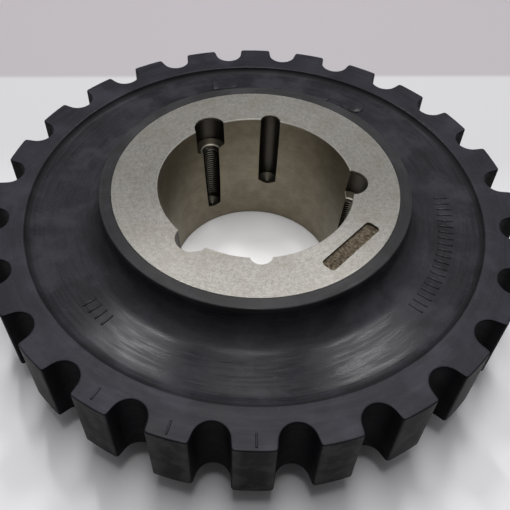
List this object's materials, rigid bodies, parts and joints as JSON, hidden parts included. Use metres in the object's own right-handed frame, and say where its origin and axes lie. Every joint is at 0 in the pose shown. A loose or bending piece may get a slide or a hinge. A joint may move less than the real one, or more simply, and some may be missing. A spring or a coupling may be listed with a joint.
{
  "type": "shaft coupling",
  "caption": "Flexible shaft coupling element: a thick rubber disc with a toothed rim, moulded on a machined hub with a taper bore for a bush.",
  "frame": {"origin": "on the hub's axis, in the plane of the hub's back face, which is the object's lowest plane as it lies in the picture", "axes": "+Z along the hub's axis towards the front face, where the half holes for the bush screws open; +X through the middle of a tooth of the rim"},
  "size_m": [0.3484, 0.3484, 0.0889],
  "materials": {
    "machined_iron": "turned and faced bare metal",
    "black_rubber": "moulded matt"
  },
  "bodies": {
    "root": {"hub": "machined_iron", "rubber_disc": "black_rubber"}
  },
  "joints": []
}
